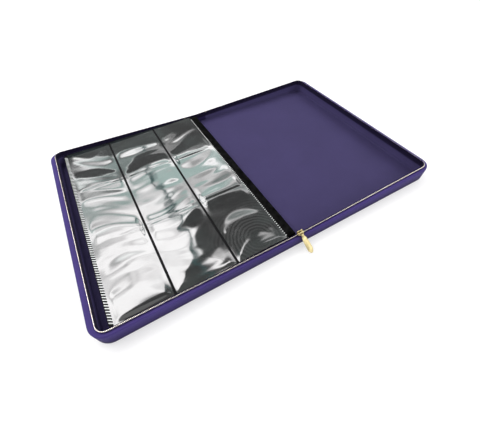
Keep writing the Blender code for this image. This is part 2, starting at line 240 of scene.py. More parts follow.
def woven(name, dark, light, pitch):
    """Plain-woven tape: threads over and under at the given pitch."""
    s = Surface(name)
    s.fixed({"Specular IOR Level": 0.1, "Sheen Weight": 0.03})
    x, y, z = s.axes()
    turn = 2 * math.pi / pitch
    along = s.math("SINE", s.math("MULTIPLY", s.math("ADD", x, y), turn))
    up = s.math("SINE", s.math("MULTIPLY", z, turn))
    weave = s.math("MULTIPLY", along, up)
    fluff = s.noise(2600.0, 3.0, 0.7)
    s.colour(s.mix(s.ramp(s.math("ADD", weave, fluff), -0.4, 1.6), dark, light))
    s.roughness(s.ramp(fluff, 0.3, 0.7, 0.75, 0.95))
    s.relief(s.math("ADD", weave, s.math("MULTIPLY", fluff, 0.6)), 0.00008, 0.8)
    return s.material


def metal(name, colour, tarnish, rough, rest=True, brushed=(400.0, 400.0, 400.0)):
    """Plated metal with fine brushed lines and duller spots."""
    s = Surface(name, rest, metallic=1.0)
    lines = s.noise(1.0, 4.0, 0.65, place=s.stretched(brushed))
    spots = s.noise(310.0, 3.0, 0.6)
    s.colour(s.mix(s.ramp(spots, 0.45, 0.75), colour, tarnish))
    s.roughness(s.ramp(s.math("ADD", lines, s.math("MULTIPLY", spots, 0.5)), 0.5, 1.0,
                       rough - 0.06, rough + 0.12))
    s.relief(lines, 0.00002, 0.5)
    return s.material


def card(name):
    """Grey stiffener board, with its fibres along the spine."""
    s = Surface(name, rest=False)
    fibres = s.noise(1.0, 5.0, 0.7, place=s.stretched((900.0, 250.0, 900.0)))
    specks = s.noise(1400.0, 2.0)
    s.colour(s.mix(fibres, (0.20, 0.19, 0.17), (0.36, 0.34, 0.30)))
    s.roughness(s.ramp(specks, 0.3, 0.7, 0.8, 0.95))
    s.relief(fibres, 0.00006)
    return s.material


def black_plastic(name):
    """Matte black sheet with a fine embossed grain."""
    s = Surface(name, rest=False)
    dust = s.noise(90.0, 5.0, 0.7)
    s.fixed({"Specular IOR Level": 0.12})
    s.colour(s.mix(s.ramp(dust, 0.4, 0.8), (0.003, 0.003, 0.0035), (0.008, 0.008, 0.009)))
    s.roughness(s.ramp(dust, 0.3, 0.7, 0.6, 0.78))
    s.relief(s.ramp(s.from_crease(1500.0), 0.0, 0.3), 0.00004, 0.6)
    return s.material


RING_CENTRE = (-0.043, -0.131)  # centre of the painted interference rings, where the layers of film press on each other
RING_PITCH = 0.0046


def pocket_film(name):
    """Clear vinyl over black: a dark gloss with faint haze, smears, and interference rings where
    its layers press, painted into its colour.
    """
    s = Surface(name)
    s.fixed({"IOR": 1.6, "Specular IOR Level": 1.0, "Coat Weight": 1.0, "Coat Roughness": 0.04,
             "Coat IOR": 1.5})
    haze = s.ramp(s.noise(9.0, 4.0, 0.6, 0.4, place=s.stretched((1.0, 2.5, 1.0))), 0.42, 0.72)
    x, y, _ = s.axes()
    distance = s.length(s.math("SUBTRACT", x, RING_CENTRE[0]),
                        s.math("SUBTRACT", y, RING_CENTRE[1]))
    wavy = s.math("ADD", distance, s.math("MULTIPLY", s.noise(28.0, 2.0), 0.009))
    rings = s.math("SINE", s.math("MULTIPLY", wavy, 2 * math.pi / RING_PITCH))
    near = s.math("MULTIPLY", s.ramp(distance, 0.006, 0.016),
                  s.ramp(distance, 0.035, 0.070, 1.0, 0.0))
    # Painted reflection: light and dark interference rings round RING_CENTRE, painted into the
    # colour.
    ringed = s.math("MULTIPLY", s.ramp(rings, -0.7, 0.7), near)
    pressed = s.mix(ringed, (0.005, 0.006, 0.006), (0.034, 0.035, 0.035))
    s.colour(s.mix(haze, pressed, (0.034, 0.044, 0.042)))
    smears = s.noise(60.0, 5.0, 0.6, 0.5)
    s.roughness(s.ramp(smears, 0.3, 0.8, 0.05, 0.13))
    s.relief(s.noise(1.0, 3.0, 0.5, place=s.stretched((70.0, 260.0, 70.0))), 0.00006, 0.3)
    return s.material


def weld_plastic(name):
    """Film whitened by the heat of its weld."""
    s = Surface(name)
    streaks = s.noise(700.0, 4.0, 0.6)
    s.fixed({"Specular IOR Level": 0.8})
    s.colour(s.mix(s.ramp(streaks, 0.35, 0.65), (0.42, 0.44, 0.43), (0.70, 0.72, 0.71)))
    s.roughness(s.ramp(streaks, 0.3, 0.7, 0.25, 0.4))
    s.relief(streaks, 0.00005, 0.6)
    return s.material


def strip_film(name):
    """Dull black hinge strip, ribbed across by its weld."""
    s = Surface(name)
    y = s.axes()[1]
    ribs = s.math("SINE", s.math("MULTIPLY", y, 2 * math.pi / 0.0017))
    dust = s.noise(120.0, 5.0, 0.7)
    s.fixed({"Specular IOR Level": 0.0})
    s.colour(s.mix(s.ramp(dust, 0.35, 0.75), (0.002, 0.002, 0.002), (0.012, 0.012, 0.012)))
    s.roughness(s.ramp(dust, 0.3, 0.7, 0.5, 0.7))
    s.relief(s.math("ADD", ribs, s.noise(900.0, 3.0)), 0.00006, 0.6)
    return s.material


def floor_finish():
    """Matte pale floor that glows a little, as white paper under studio light does."""
    s = Surface("pale_floor", rest=False)
    s.fixed({"Roughness": 0.9, "Specular IOR Level": 0.1,
             "Emission Color": (1.0, 1.0, 1.0, 1.0), "Emission Strength": 0.42})
    s.colour(s.mix(s.noise(3.0, 3.0), (0.58, 0.58, 0.58), (0.61, 0.61, 0.61)))
    return s.material


# The softbox card whose reflection the film shows: gaps in its dark corner, as x, y and reach
FLAG_GAPS = ((0.20, 0.36, 0.055), (0.09, 0.30, 0.045), (0.47, 0.30, 0.060))
DARK_LEVEL = (0.036, 0.036, 0.036)
CRACK_COLOUR = (0.03, 0.06, 0.06)
NEUTRAL, TEAL = (1.0, 0.985, 0.99), (0.33, 0.43, 0.41)
CARD_STRENGTH = 6.2


def reflection_card(name):
    """A softbox's diffuser, lit unevenly: soft bands, a dark seam, and one corner flagged off."""
    s = Surface(name, rest=False)
    s.fixed({"Roughness": 1.0, "Specular IOR Level": 0.0, "Base Color": (0.0, 0.0, 0.0, 1.0),
             "Emission Strength": CARD_STRENGTH})
    x, y, _ = s.axes()
    shifted = s.shifted((3.1, 5.7, 0.0))

    def swing(scale, by, place):
        """Noise from -by / 2 to by / 2."""
        return s.math("MULTIPLY",
                      s.math("SUBTRACT", s.noise(scale, 2.0, 0.5, place=place), 0.5), by)

    across = s.math("ADD", x, swing(3.0, 0.22, shifted))
    along = s.math("ADD", y, swing(2.2, 0.16, s.place))
    front = s.ramp(along, 0.70, 0.86, 1.0, 0.0)
    bent = s.math("ADD", 0.035, swing(4.5, 0.34, shifted))
    crack = s.ramp(s.math("ABSOLUTE", s.math("SUBTRACT", x, bent)), 0.010, 0.026)
    crack = s.math("MAXIMUM", crack, s.ramp(y, 1.30, 1.36))
    bluish = s.ramp(s.noise(1.0, 1.0, 0.5, place=s.stretched((0.8, 6.0, 1.0))), 0.48, 0.60)
    tint = s.mix(s.math("MULTIPLY", bluish, s.math("SUBTRACT", 1.0, front)), NEUTRAL, TEAL)
    level = s.math("MULTIPLY", card_tone(s, across, along, front), lit_part(s, across, along))
    lit = s.mix(level, DARK_LEVEL, tint)
    s.feed(s.shader.inputs["Emission Color"], s.mix(crack, CRACK_COLOUR, lit))
    return s.material


def lit_part(s, across, along):
    """1 on the part of the card that is lit, between a stepped lower edge and an upper one."""
    lower = s.math("ADD", s.ramp(across, -0.50, -0.33, 0.05, 0.32),
                   s.math("ADD", s.ramp(across, -0.33, -0.01, 0.0, 0.15),
                          s.ramp(across, -0.01, 0.15, 0.0, 0.22)))
    upper = s.ramp(across, -0.15, 0.12, 1.50, 1.40)
    inside = s.math("MULTIPLY",
                    s.ramp(s.math("SUBTRACT", along, lower), -0.015, 0.03),
                    s.ramp(s.math("SUBTRACT", upper, along), -0.02, 0.02))
    for gap_x, gap_y, reach in FLAG_GAPS:
        distance = s.length(s.math("MULTIPLY", s.math("SUBTRACT", across, gap_x), 0.55),
                            s.math("SUBTRACT", along, gap_y))
        inside = s.math("MAXIMUM", inside, s.ramp(distance, 0.6 * reach, reach, 1.0, 0.0))
    return inside


def card_tone(s, across, along, front):
    """Brightness within the lit part: bands and ripples at the back, folds at the front."""
    bands = s.ramp(s.noise(1.0, 2.0, 0.45, 0.3, place=s.stretched((0.7, 4.2, 1.0))),
                   0.38, 0.56, 0.10, 1.0)
    ripples = s.ramp(s.noise(1.0, 2.0, 0.5, 0.3, place=s.stretched((1.5, 12.0, 1.0))),
                     0.38, 0.62, 0.70, 1.0)
    folds = s.ramp(s.noise(1.0, 2.0, 0.5, 0.6, place=s.stretched((2.2, 5.5, 1.0))),
                   0.36, 0.50, 0.45, 1.0)
    back = s.math("MULTIPLY", s.math("MULTIPLY", bands, ripples), s.math("SUBTRACT", 1.0, front))
    tone = s.math("ADD", back, s.math("MULTIPLY", folds, front))
    right = s.ramp(across, 0.12, 0.20)
    middle = s.ramp(along, 0.93, 0.99, 1.0, 0.0)
    return s.math("MULTIPLY", tone, s.ramp(s.math("MULTIPLY", right, middle), 0.0, 1.0, 1.0, 0.42))


GOLD_TONES = (0.66, 0.56, 0.30), (0.55, 0.45, 0.23)

# foot=0.85 paints shade on the outer leather towards the ground.
OUTER = leather("purple_leather", (0.052, 0.037, 0.150), (0.066, 0.048, 0.188),
                (0.10, 0.075, 0.24), 1000.0, 0.50, foot=0.85)
# wall=1.45 paints fill light on the lining's walls.
INNER = leather("purple_lining", (0.049, 0.041, 0.104), (0.055, 0.046, 0.118),
                (0.066, 0.057, 0.138), 1500.0, 0.62, wall=1.45)
TAPE = woven("dark_zip_tape", (0.006, 0.004, 0.018), (0.014, 0.009, 0.036), 0.0009)
THREAD = woven("purple_thread", (0.040, 0.032, 0.10), (0.075, 0.060, 0.17), 0.0005)
TEETH = metal("pale_gold_teeth", (0.93, 0.88, 0.81), (0.76, 0.69, 0.60), 0.22)
GOLD = metal("gold_metal", *GOLD_TONES, 0.34, brushed=(260.0, 1900.0, 1900.0))
CAD_GOLD = metal("gold_metal_plain", *GOLD_TONES, 0.36, rest=False)
WELD = weld_plastic("weld_marks")
BOARD = card("grey_board")
FILM = pocket_film("pocket_film")
BACKING = black_plastic("black_backing")
BINDING = strip_film("black_binding")


# ---------------------------------------- mesh building

class Shape:
    """Points and faces collected for one mesh."""

    def __init__(self):
        self.points, self.faces = [], []

    def add(self, points):
        """Adds points and returns their numbers."""
        first = len(self.points)
        self.points += [tuple(point) for point in points]
        return list(range(first, len(self.points)))

    def join(self, one, other, closed=False):
        """Quads between two rows of points."""
        count = len(one)
        for i in range(count if closed else count - 1):
            j = (i + 1) % count
            self.faces.append((one[i], one[j], other[j], other[i]))

    def tube(self, rings, caps=True):
        """Closed rings joined one to the next."""
        rows = [self.add(ring) for ring in rings]
        for one, other in zip(rows, rows[1:]):
            self.join(one, other, closed=True)
        if caps:
            self.faces += [rows[0][::-1], rows[-1]]
        return rows

    def finish(self, name, material, sharp_deg=38.0, matrix=None):
        """Makes the object, moved by the matrix if there is one."""
        mesh = bpy.data.meshes.new(name)
        mesh.from_pydata(self.points, [], self.faces)
        if matrix:
            mesh.transform(matrix)
        return finish_mesh(name, mesh, material, sharp_deg)


def finish_mesh(name, mesh, material, sharp_deg):
    """Consistent normals, smooth shading up to an angle, and the materials' rest position."""
    shape = bmesh.new()
    shape.from_mesh(mesh)
    bmesh.ops.recalc_face_normals(shape, faces=shape.faces)
    limit = math.radians(sharp_deg)
    for face in shape.faces:
        face.smooth = True
    for edge in shape.edges:
        edge.smooth = len(edge.link_faces) == 2 and edge.calc_face_angle(0.0) < limit
    shape.to_mesh(mesh)
    shape.free()
    keep_rest(mesh)
    mesh.materials.append(material)
    made = bpy.data.objects.new(name, mesh)
    bpy.context.scene.collection.objects.link(made)
    return made


def keep_rest(mesh):
    """Stores each point's position before any bending, for the materials."""
    attribute = mesh.attributes.new("rest", "FLOAT_VECTOR", "POINT")
    values = [0.0] * (3 * len(mesh.vertices))
    mesh.vertices.foreach_get("co", values)
    attribute.data.foreach_set("vector", values)


def settle(piece, body=None, replaces=()):
    """Says which body a piece rides and which CAD nodes it replaces."""
    if body:
        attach(piece, body)
    if replaces:
        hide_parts(*replaces)


def steps_between(low, high, pitch):
    """Even steps of about the pitch, both ends included."""
    count = max(1, round((high - low) / pitch))
    return [low + (high - low) * i / count for i in range(count + 1)]


# Columns across a cover, from the spine's middle outwards
NEAR_SPINE = [0.0, 0.004, 0.008, 0.012]
HINGE_STEPS = [0.0152, 0.0157, 0.0162, 0.0167, 0.0172, 0.0177, 0.0182, WALL_START]
OUTWARD = steps_between(0.024, 0.214, 0.0095)
SHELL_XS = NEAR_SPINE + HINGE_STEPS + OUTWARD
WALL_XS = [WALL_START] + OUTWARD
# The back lining covers the spine up to the binding band, the front one stops at its crease
LINING_XS = {"back_cover": [0.0009] + NEAR_SPINE[1:] + HINGE_STEPS + OUTWARD,
             "front_cover": [0.0160] + HINGE_STEPS[2:] + OUTWARD}


def corner_radius(inset):
    """The outline's corner radius at an inset from the outer face."""
    if inset >= WALL:
        return INNER_RADIUS - (inset - WALL)
    return OUTER_RADIUS - (OUTER_RADIUS - INNER_RADIUS) * inset / WALL


def near_half(inset, xs):
    """The near side and near corner of a cover's edge at an inset."""
    radius = corner_radius(inset)
    ledge = min(1.0, max(0.0, (inset - LEDGE_START) / (WALL - LEDGE_START)))
    corner_x = HALF_WIDTH - inset - SIDE_EXTRA * ledge - radius
    corner_y = HALF_DEPTH - inset - radius
    points = [(x, -HALF_DEPTH + inset) for x in xs]
    for step in range(ARC_STEPS + 1):
        angle = math.radians(-90 + 90 * step / ARC_STEPS)
        points.append((corner_x + radius * math.cos(angle), -corner_y + radius * math.sin(angle)))
    return points


def edge_path(inset, xs):
    """A cover's whole edge at an inset, near end to far end."""
    near = near_half(inset, xs)
    last_x, last_y = near[-1]
    side = [(last_x, last_y * (1 - 2 * row / ROWS)) for row in range(1, ROWS)]
    return near + side + [(x, -y) for x, y in near[::-1]]


def at(height, x):
    """A profile's height at x: some follow the rim, others are level."""
    return height(x) if callable(height) else height


def tray_solid(name, side, profile, xs, material, top_wave=None):
    """A sheet filling a cover's outline, with a wall swept round its edge from WALL_START outwards.

    The profile runs from the underside's edge, over the wall, to the upper side's edge.
    """
    shape = Shape()
    rings = [shape.add((side * x, y, at(height, x)) for x, y in edge_path(inset, xs))
             for inset, height in profile]
    last = len(rings[0]) - 1
    start = xs.index(WALL_START)
    for one, other in zip(rings, rings[1:]):
        shape.join(one[start:last - start + 1], other[start:last - start + 1])
    for q in {start, last - start}:
        shape.faces.append([ring[q] for ring in rings])
    if start:
        for part in (slice(0, start + 1), slice(last - start, last + 1)):
            shape.join(rings[0][part], rings[-1][part])
    columns = len(xs) + ARC_STEPS + 1
    bottom = fill_outline(shape, rings[0], columns)
    top = fill_outline(shape, rings[-1], columns, top_wave)
    shape.join(bottom, top)
    return shape.finish(name, material)


def fill_outline(shape, ring, columns, wave=None):
    """A grid over a cover's outline, a column for each step along its near side.

    Returns the column beside the spine.
    """
    last = len(ring) - 1
    grid = []
    for column in range(columns - 1):
        near, far = ring[column], ring[last - column]
        x, y, z = shape.points[near]
        inner = []
        for row in range(1, ROWS):
            at_y = y * (1 - 2 * row / ROWS)
            inner.append((x, at_y, z + (wave(x, at_y) if wave else 0.0)))
        grid.append([near] + shape.add(inner) + [far])
    grid.append(ring[columns - 1:columns + ROWS])
    for one, other in zip(grid, grid[1:]):
        shape.join(one, other)
    return grid[0]


# ---------------------------------------- leather and linings

FOOT = 0.0030  # radius of the wall's rounded foot
ROLL = (0.0014, 0.0024)  # the wall's rolled top: how far in, how far down
INNER_ROLL = (0.0008, 0.0009)


def outer_profile():
    """The rim wall from its rounded foot, up its outer face and over its rolled top."""
    wall_top = below_rim(WALL_DROP)
    points = []
    for step in range(7):
        angle = math.radians(15 * step)
        points.append((FOOT * (1 - math.sin(angle)), FOOT * (1 - math.cos(angle))))
    for share in (0.35, 0.7):
        points.append((0.0, lambda x, share=share: FOOT + share * (wall_top(x) - ROLL[1] - FOOT)))
    for step in range(9):
        angle = math.radians(90 * step / 8)
        drop = ROLL[1] * (1 - math.sin(angle))
        points.append((ROLL[0] * (1 - math.cos(angle)), below_rim(WALL_DROP + drop)))
    for step in range(1, 5):
        angle = math.radians(90 * step / 4)
        drop = INNER_ROLL[1] * (1 - math.cos(angle))
        points.append((WALL - INNER_ROLL[0] * (1 - math.sin(angle)), below_rim(WALL_DROP + drop)))
    return points


def bend(piece, cover, side):
    """Bakes a sheet's transform into its mesh."""
    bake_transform(piece)


def build_shell(cover, side):
    """The outer leather of one cover with its half of the spine, underside and rim wall."""
    profile = outer_profile() + [(WALL, WALL_INNER_FOOT), (WALL, SKIN_HIGH.z)]
    shell = tray_solid(f"{cover}_shell", side, profile, SHELL_XS, OUTER)
    bend(shell, cover, side)
    replaced = [f"{cover}_skin", f"{cover}_rim", cover.replace("cover", "hinge_leather")]
    settle(shell, replaces=replaced + (["spine_skin"] if side > 0 else []))


LINING_FILLET = 0.0020
LINING_INSET = WALL + 0.00025
LINING_BACK = LINING_INSET - 0.00015
LINING_DROP = 0.0065  # the lining ends this far below the rim, behind the tape
FILLET_TOP = 0.0052  # where the straight part of its wall ends


def floor_wave(x, y):
    """The lining lies very slightly uneven over its board."""
    return 0.00007 * (math.sin(31 * x + 17 * y) + math.sin(53 * y - 24 * x + 1.1))


def build_lining(cover, side):
    """A tray's inner lining: its floor, a soft fillet, and its wall up behind the zip tape."""
    top = below_rim(LINING_DROP)
    profile = [(LINING_BACK, LINING_BOTTOM), (LINING_BACK, top), (LINING_INSET, top),
               (LINING_INSET, lambda x: 0.5 * (top(x) + FILLET_TOP))]
    for step in range(6):
        angle = math.radians(18 * step)
        profile.append((LINING_INSET + LINING_FILLET * (1 - math.cos(angle)),
                        FLOOR_Z + LINING_FILLET * (1 - math.sin(angle))))
    lining = tray_solid(f"{cover}_lining_sheet", side, profile, LINING_XS[cover], INNER, floor_wave)
    bend(lining, cover, side)
    replaced = [f"{cover}_lining"] + (["spine_lining"] if side > 0 else [])
    settle(lining, replaces=replaced)


def flatten(piece, side):
    """Puts a piece of the spine's soft end on the spine, with a mesh of its own."""
    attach(piece, "spine")
    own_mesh(piece)


def across_spine(section, xs, side, end_sign):
    """Loops of a section carried straight across half of the spine's near or far end."""
    return [[(side * x, end_sign * (HALF_DEPTH - inset), at(height, x))
             for inset, height in section] for x in xs]


def build_gusset(end, end_sign, half, side):
    """The rim wall across half the spine. half is front or back."""
    shape = Shape()
    profile = outer_profile() + [(WALL, WALL_INNER_FOOT), (WALL, FLOOR_Z)]
    shape.tube(across_spine(profile, NEAR_SPINE + [0.0155, WALL_START], side, end_sign))
    gusset = shape.finish(f"{end}_{half}_soft_end", OUTER)
    flatten(gusset, side)
    settle(gusset, replaces=[f"{end}_{half}_gusset"])


BINDING_RIGHT = 0.0008  # where the band ends, just short of the lining


def build_binding():
    """The black band on the spine's floor that the leaves are sewn to."""
    shape = Shape()
    low, high, right = BINDING_LOW, BINDING_HIGH, BINDING_RIGHT
    rings = []
    for y in steps_between(low.y, high.y, 0.006):
        top = high.z + 0.00004 * math.sin(140 * y)
        rings.append([(low.x, y, low.z), (right, y, low.z), (right, y, top),
                      (0.5 * (low.x + right), y, top + 0.00008), (low.x, y, top)])
    shape.tube(rings)
    settle(shape.finish("binding_band", BINDING), "spine", ["binding_strip"])


# ---------------------------------------- zip rows

TAPE_TOP = -0.0004  # the tape's edge stands just above the teeth
TAPE_BOTTOM = 0.0080
TAPE_INSETS = (WALL + 0.0009, WALL + 0.0013)
TOOTH_PITCH = 0.0015
TOOTH_RINGS = (  # drop below the rim's top, half length, half width
    (0.00235, 0.00050, 0.00044), (0.0017, 0.00058, 0.00056), (0.0007, 0.00056, 0.00054),
    (0.00025, 0.00048, 0.00040), (0.0, 0.00030, 0.00020))
TOOTH_SHIFT = 0.00025  # outwards from the tape's middle
TOP_STOP_ROOM = 0.0036  # room for the top stop at the row's far end
STITCH_PITCH = 0.003
STITCH_DROP = 0.0066
STITCH_HALF = 0.0011
STITCH_RADIUS = 0.00017
STITCH_INSET = TAPE_INSETS[1] + 0.00012


def tape_section():
    """The tape's section as a closed loop of inset and height."""
    outer, inner = TAPE_INSETS
    drops = (TAPE_TOP, 0.0035, 0.0058, TAPE_BOTTOM)
    section = [(outer, below_rim(drop)) for drop in drops]
    return section + [(inner, below_rim(drop)) for drop in drops[::-1]]


def tooth(shape, x, y, along, side):
    """One metal tooth astride the tape's edge, standing up at (x, y)."""
    across = (-along[1], along[0])
    rings = []
    for drop, half_length, half_width in TOOTH_RINGS:
        z = rim_top(x) - drop
        ring = []
        for a, b in ((-1, -1), (1, -1), (1, 1), (-1, 1)):
            ring.append((side * (x + a * half_length * along[0] + b * half_width * across[0]),
                         y + a * half_length * along[1] + b * half_width * across[1], z))
        rings.append(ring)
    shape.tube(rings)


def stitch(shape, middle, along):
    """One stitch: a short plump thread."""
    upward = Vector((0, 0, 1))
    across = along.cross(upward).normalized()
    rings = []
    for share, thick in ((-1.0, 0.45), (-0.6, 0.95), (0.0, 1.15), (0.6, 0.95), (1.0, 0.45)):
        ring = []
        for corner in range(6):
            angle = math.radians(60 * corner)
            offset = across * math.cos(angle) + upward * math.sin(angle)
            ring.append(middle + along * STITCH_HALF * share + offset * STITCH_RADIUS * thick)
        rings.append(ring)
    shape.tube(rings)


def along_path(path, pitch):
    """Evenly spaced points along a path, with the direction of travel at each."""
    travelled, target = 0.0, pitch / 2
    for (x0, y0), (x1, y1) in zip(path, path[1:]):
        length = math.hypot(x1 - x0, y1 - y0)
        direction = ((x1 - x0) / length, (y1 - y0) / length)
        while target <= travelled + length:
            step = target - travelled
            yield x0 + direction[0] * step, y0 + direction[1] * step, direction
            target += pitch
        travelled += length


def build_zip(cover, side):
    """A cover's tape, teeth and the seam of stitches that holds the tape."""
    band = Shape()
    loops = [[(side * x, y, height(x)) for x, y in edge_path(inset, WALL_XS)]
             for inset, height in tape_section()]
    band.tube(list(zip(*loops)))
    settle(band.finish(f"{cover}_tape", TAPE), cover, [f"{cover}_zip_tape"])
    row = Shape()
    row_inset = HALF_DEPTH - ROW_Y - TOOTH_SHIFT
    for x, y, along in along_path(edge_path(row_inset, WALL_XS), TOOTH_PITCH):
        if y < 0 or x > WALL_START + TOP_STOP_ROOM:
            tooth(row, x, y, along, side)
    settle(row.finish(f"{cover}_teeth", TEETH), cover, [f"{cover}_zip_teeth"])
    seam = Shape()
    for x, y, along in along_path(edge_path(STITCH_INSET, WALL_XS), STITCH_PITCH):
        stitch(seam, Vector((side * x, y, rim_top(x) - STITCH_DROP)),
               Vector((side * along[0], along[1], 0.0)))
    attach(seam.finish(f"{cover}_stitches", THREAD), cover)


def build_tail(end, end_sign, half, side):
    """The zip's tape and teeth across half of the spine's soft end."""
    band = Shape()
    band.tube(across_spine(tape_section(), NEAR_SPINE + [WALL_START], side, end_sign))
    tape = band.finish(f"{end}_{half}_tail_tape", TAPE)
    flatten(tape, side)
    settle(tape)
    row = Shape()
    row_y = end_sign * (ROW_Y + TOOTH_SHIFT)
    for i in range(round(WALL_START / TOOTH_PITCH)):
        tooth(row, (i + 0.5) * TOOTH_PITCH, row_y, (1.0, 0.0), side)
    teeth = row.finish(f"{end}_{half}_tail_teeth", TEETH)
    flatten(teeth, side)
    settle(teeth, replaces=[f"{end}_{half}_zip_tail"])


# ---------------------------------------- leaves

LEAVES = 6
COLUMN_SEAMS = (-0.155, -0.081)
SEAM_HALF = 0.0015
ROW_WELDS = (0.053, -0.046)
WELD_STEPS = (-0.0010, -0.0003, 0.0003, 0.0010)  # grid lines across a weld
WELD_CLEAR = 0.0012
COMB_LENGTH = 0.0043  # the comb of weld marks along the outer edge
COMB_PITCH = 0.0033
COMB_WIDTH = 0.0013
COMB_SLANT = 0.0026
COMB_OVERLAP = 0.0003
COMB_ENDS = (0.003, 0.009)  # clear of marks at the near and far ends
BOUND_COMB = 0.0016  # the marks' length along the bound edge
FILM_THICKNESS = 0.00012
FILM_GAP = 0.00002
FILM_CORNER = 0.0045
DOME = 0.00065  # how far the film rises over the middle of a column
FREE_LIFT = 0.00025
STRIP_THICKNESS = 0.00035


def crinkle(x, y, number):
    """How the vinyl ripples, in metres: waves that run mostly across the leaf and bend with it."""
    shift = 1.7 * number
    u, v = 1000 * x, 1000 * y
    bent = (v + 9.0 * math.sin(u / 34 + 1.3 + shift) + 5.0 * math.sin(u / 17 + v / 60 + shift)
            + 3.0 * math.sin(v / 21 - u / 45))
    waves = (0.46 * math.sin(bent / 15.0 + 0.4 + shift)
             + 0.27 * math.sin(bent / 8.6 + u / 70 + 2.1)
             + 0.12 * math.sin(bent / 4.6 - u / 38 + shift)
             + 0.02 * math.sin(bent / 2.1 + u / 23)
             + 0.18 * math.sin(u / 12.0 + math.sin(v / 26.0) * 2.0 + shift))
    return 0.001 * waves


def smooth(share):
    """An even rise from 0 to 1 that starts and ends level."""
    share = max(0.0, min(1.0, share))
    return share * share * (3 - 2 * share)


def from_seam(x, y):
    """Distance to the nearest seam or welded edge of a column."""
    to_seam = min([abs(x - seam) - SEAM_HALF for seam in COLUMN_SEAMS]
                  + [x - FILM_LOW.x - COMB_LENGTH, FILM_HIGH.x - BOUND_COMB - x])
    return max(0.0, min(to_seam, y - FILM_LOW.y, FILM_HIGH.y - y))


def lifted(x, y, number):
    """How far the film stands off its backing: a low dome over each column, with ripples on it."""
    seam = from_seam(x, y)
    weld = min(abs(y - weld) for weld in ROW_WELDS)
    free = 0.12 + 0.88 * smooth(seam / 0.008)
    calm = 0.4 + 0.6 * smooth((FILM_HIGH.y - y) / 0.045)
    ripple = calm * free * (0.72 + 0.28 * smooth(weld / 0.004)) * crinkle(x, y, number)
    height = DOME * smooth(seam / 0.030) + FREE_LIFT * free + ripple
    return 0.5 * (height + math.sqrt(height * height + 4e-8))  # never below the backing


def rounded(x, y, low, high):
    """Moves a point near an outer corner in, so that the corner is round."""
    middle_x = low.x + FILM_CORNER
    for corner_y, sign in ((low.y, -1), (high.y, 1)):
        middle_y = corner_y - sign * FILM_CORNER
        dx, dy = middle_x - x, (y - middle_y) * sign
        if dx > 0 and dy > 0:
            scale = max(dx, dy) / math.hypot(dx, dy)
            return middle_x - dx * scale, middle_y + sign * dy * scale
    return x, y


def film_sides(number):
    """A leaf's two films: node, CAD corners, the face towards the backing, and which way is out."""
    for node, up in ((f"leaf_{number}_front_film", 1), (f"leaf_{number}_back_film", -1)):
        low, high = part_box(node)
        yield node, low, high, low.z if up > 0 else high.z, up


def build_films(number):
    """A leaf's films: three columns each, crinkled where free and pressed down at their seams."""
    for node, low, high, base, up in film_sides(number):
        on_top = number == LEAVES and up > 0
        pitch, amplitude = (0.0016, 1.0) if on_top else (0.004, 0.16)
        ys = set(steps_between(low.y, high.y, pitch))
        for weld in ROW_WELDS:
            ys = {y for y in ys if abs(y - weld) > WELD_CLEAR}
            ys |= {weld + step for step in WELD_STEPS}
        edges = [low.x + COMB_LENGTH]
        for seam in COLUMN_SEAMS:
            edges += [seam - SEAM_HALF, seam + SEAM_HALF]
        edges.append(high.x - BOUND_COMB)
        shape = Shape()
        for left, right in zip(edges[::2], edges[1::2]):
            grid = []
            for x in steps_between(left, right, pitch):
                column = []
                for y in sorted(ys):
                    lift = amplitude * lifted(x, y, number)
                    column.append((*rounded(x, y, low, high), base + up * (FILM_THICKNESS + lift)))
                grid.append(column)
            closed_sheet(shape, grid, up)
        film = shape.finish(node.replace("film", "vinyl"), FILM, sharp_deg=60.0)
        settle(film, f"leaf_{number}", [node])


def closed_sheet(shape, grid, up):
    """A thin closed sheet from a grid of points on its outside."""
    outside = [shape.add(column) for column in grid]
    inside = [shape.add((x, y, z - up * FILM_THICKNESS) for x, y, z in column) for column in grid]
    for sheet in (outside, inside):
        for one, other in zip(sheet, sheet[1:]):
            shape.join(one, other)
    rims = [[column[0] for column in sheet] + sheet[-1][1:]
            + [column[-1] for column in sheet[-2::-1]] + sheet[0][-2:0:-1]
            for sheet in (outside, inside)]
    shape.join(rims[0], rims[1], closed=True)


def build_welds(number):
    """The whitened tongues of film in the welds along a leaf's outer edge and its bound edge."""
    shape = Shape()
    near_end, far_end = COMB_ENDS
    for _, low, high, base, up in film_sides(number):
        levels = [base + up * (FILM_THICKNESS + FILM_GAP), base + up * FILM_GAP]
        outer_edge = (low.x + COMB_OVERLAP, low.x + COMB_LENGTH + 0.0004, COMB_SLANT)
        bound_edge = (high.x - BOUND_COMB - COMB_OVERLAP, high.x, 0.0)
        combs = [outer_edge] + ([bound_edge] if number == LEAVES and up > 0 else [])
        for y in steps_between(low.y + near_end, high.y - far_end, COMB_PITCH):
            for left, right, slant in combs:
                shape.tube([[(left, y + slant, z), (left, y + slant + COMB_WIDTH, z),
                             (right, y + COMB_WIDTH, z), (right, y, z)] for z in levels])
    settle(shape.finish(f"leaf_{number}_weld_marks", WELD), f"leaf_{number}")


